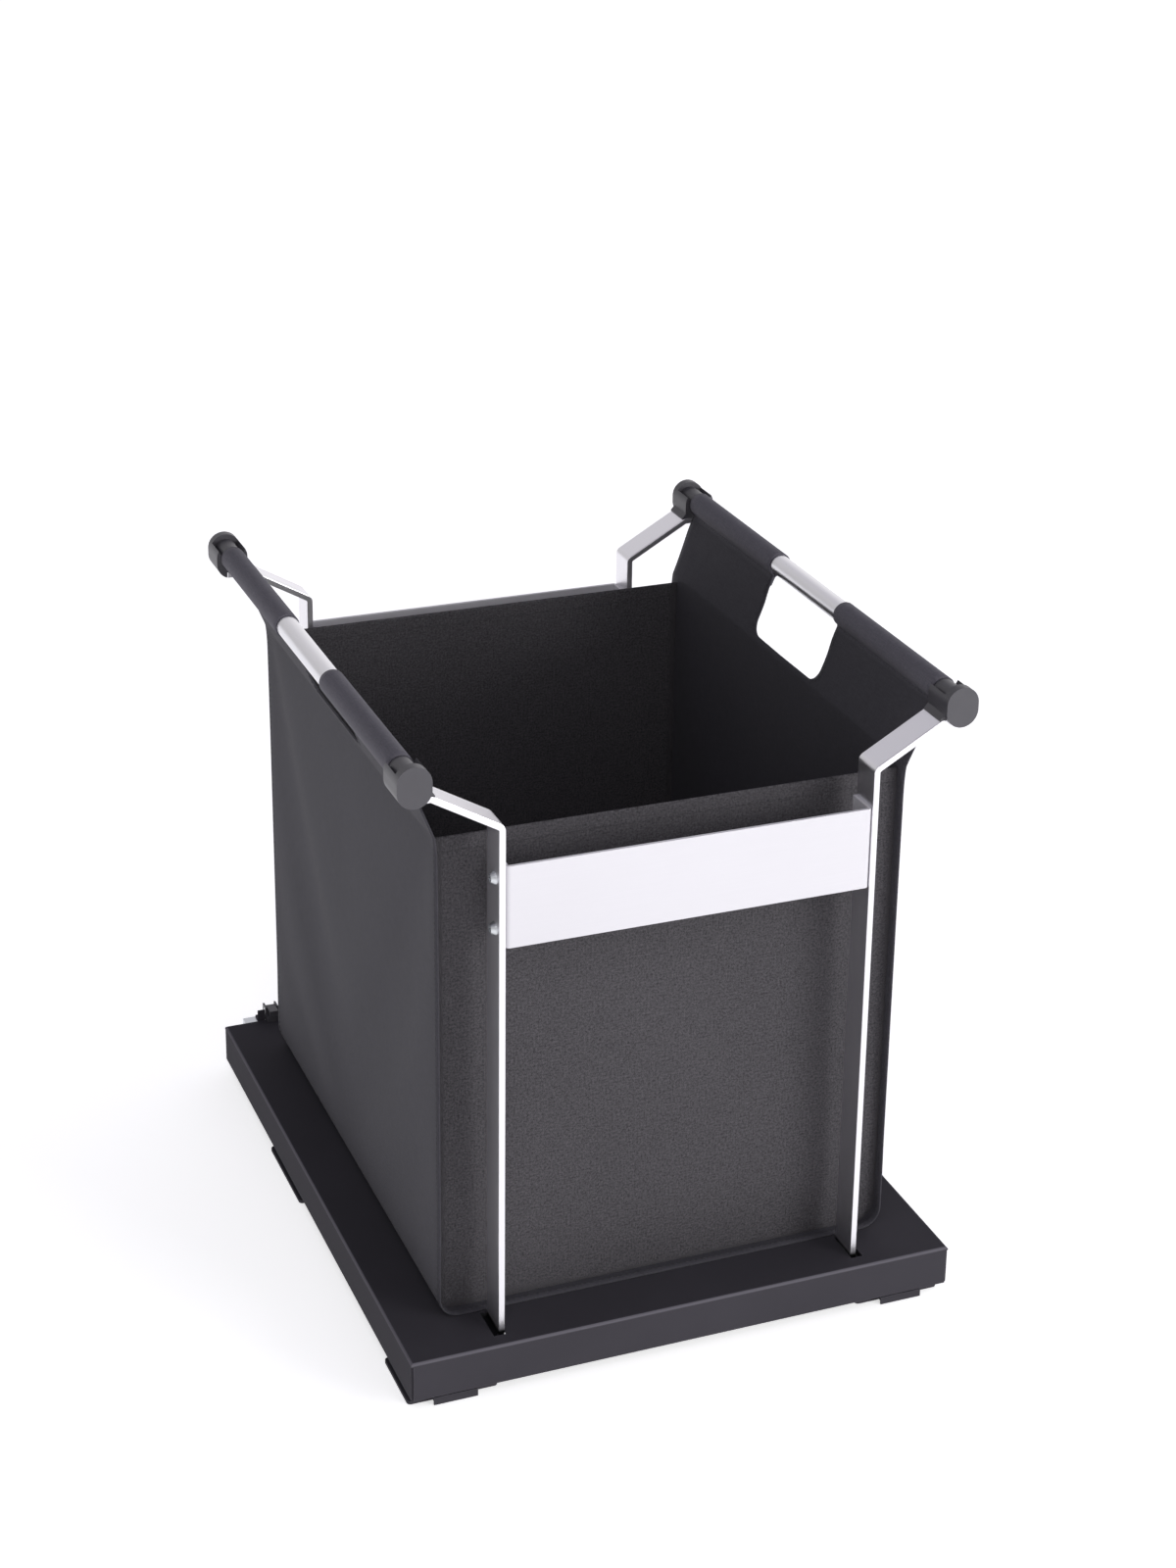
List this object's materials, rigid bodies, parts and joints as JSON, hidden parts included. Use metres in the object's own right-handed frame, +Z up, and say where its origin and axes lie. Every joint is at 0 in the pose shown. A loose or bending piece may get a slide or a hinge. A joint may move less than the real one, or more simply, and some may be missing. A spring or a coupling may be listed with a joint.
{
  "type": "pull-out waste bag carrier",
  "caption": "Pull-out under-counter waste carrier: a folded steel tray on full-extension rails with a flat-bar frame that holds a lift-out fabric bag by its carrying tubes.",
  "frame": {"origin": "on the cabinet floor, under the middle of the whole object's bounding box", "axes": "+Z up, +X to the right seen from the front, -Y to the front, where the tray pulls out"},
  "size_m": [0.4146, 0.508, 0.4774],
  "materials": {
    "black_coated_steel": "fine matt powder coat",
    "satin_bar": "satin",
    "tube_metal": "satin",
    "black_plastic": "fine-textured moulding",
    "buffer_rubber": "matt",
    "bag_fabric": "coated woven polyester",
    "base_board": "matt board",
    "zinc_steel": "zinc plated",
    "ball_steel": "polished"
  },
  "bodies": {
    "cabinet_side": {"cabinet_rail_left": "black_coated_steel", "cabinet_rail_right": "black_coated_steel", "floor_plate_front_left": "black_coated_steel", "floor_plate_front_right": "black_coated_steel", "floor_plate_rear_left": "black_coated_steel", "floor_plate_rear_right": "black_coated_steel", "floor_plate_rivets": "zinc_steel", "rail_buffers": "buffer_rubber"},
    "lower_cages": {"lower_ball_cage_left": "black_plastic", "lower_ball_cage_right": "black_plastic", "lower_rail_balls": "ball_steel"},
    "intermediate": {"intermediate_rail_left": "zinc_steel", "intermediate_rail_right": "zinc_steel"},
    "upper_cages": {"upper_ball_cage_left": "black_plastic", "upper_ball_cage_right": "black_plastic", "upper_rail_balls": "ball_steel"},
    "tray_frame": {"catch_bracket_left": "black_coated_steel", "catch_bracket_right": "black_coated_steel", "catch_housing_left": "black_plastic", "catch_housing_right": "black_plastic", "catch_pins": "zinc_steel", "cross_plate_front": "satin_bar", "cross_plate_rear": "satin_bar", "frame_nuts": "zinc_steel", "frame_screws": "zinc_steel", "holder_screws": "zinc_steel", "tray": "black_coated_steel", "tray_nuts": "zinc_steel", "tray_rail_left": "zinc_steel", "tray_rail_right": "zinc_steel", "tray_studs": "zinc_steel", "tube_holder_front_left": "black_plastic", "tube_holder_front_right": "black_plastic", "tube_holder_rear_left": "black_plastic", "tube_holder_rear_right": "black_plastic", "upright_front_left": "satin_bar", "upright_front_right": "satin_bar", "upright_rear_left": "satin_bar", "upright_rear_right": "satin_bar"},
    "left_catch": {"catch_lever_left": "black_plastic"},
    "right_catch": {"catch_lever_right": "black_plastic"},
    "bag": {"bag_base_board": "base_board", "bag_flap_left": "bag_fabric", "bag_flap_right": "bag_fabric", "bag_floor": "bag_fabric", "bag_front_panel": "bag_fabric", "bag_rear_panel": "bag_fabric", "bag_side_left": "bag_fabric", "bag_side_right": "bag_fabric", "carry_tube_left": "tube_metal", "carry_tube_right": "tube_metal", "tube_plug_front_left": "black_plastic", "tube_plug_front_right": "black_plastic", "tube_plug_rear_left": "black_plastic", "tube_plug_rear_right": "black_plastic"}
  },
  "joints": [
    {"name": "tray_slide", "type": "slide", "parent": "cabinet_side", "child": "tray_frame", "axis": [0, -1, 0], "range_m": [0, 0.48]},
    {"name": "intermediate_slide", "type": "slide", "parent": "cabinet_side", "child": "intermediate", "axis": [0, -1, 0], "range_m": [0, 0.24]},
    {"name": "lower_cage_slide", "type": "slide", "parent": "cabinet_side", "child": "lower_cages", "axis": [0, -1, 0], "range_m": [0, 0.12]},
    {"name": "upper_cage_slide", "type": "slide", "parent": "cabinet_side", "child": "upper_cages", "axis": [0, -1, 0], "range_m": [0, 0.36]},
    {"name": "bag_lift", "type": "slide", "parent": "tray_frame", "child": "bag", "axis": [0, 0, 1], "range_m": [0, 0.44]},
    {"name": "left_catch_hinge", "type": "hinge", "parent": "tray_frame", "child": "left_catch", "pos_m": [-0.1645, 0.249, 0.048], "axis": [-1, 0, 0], "range_deg": [0, 75]},
    {"name": "right_catch_hinge", "type": "hinge", "parent": "tray_frame", "child": "right_catch", "pos_m": [0.1645, 0.249, 0.048], "axis": [-1, 0, 0], "range_deg": [0, 75]}
  ],
  "couplings": [
    {"joint": "intermediate_slide", "follows": "tray_slide", "ratio": 0.5},
    {"joint": "lower_cage_slide", "follows": "tray_slide", "ratio": 0.25},
    {"joint": "upper_cage_slide", "follows": "tray_slide", "ratio": 0.75}
  ]
}
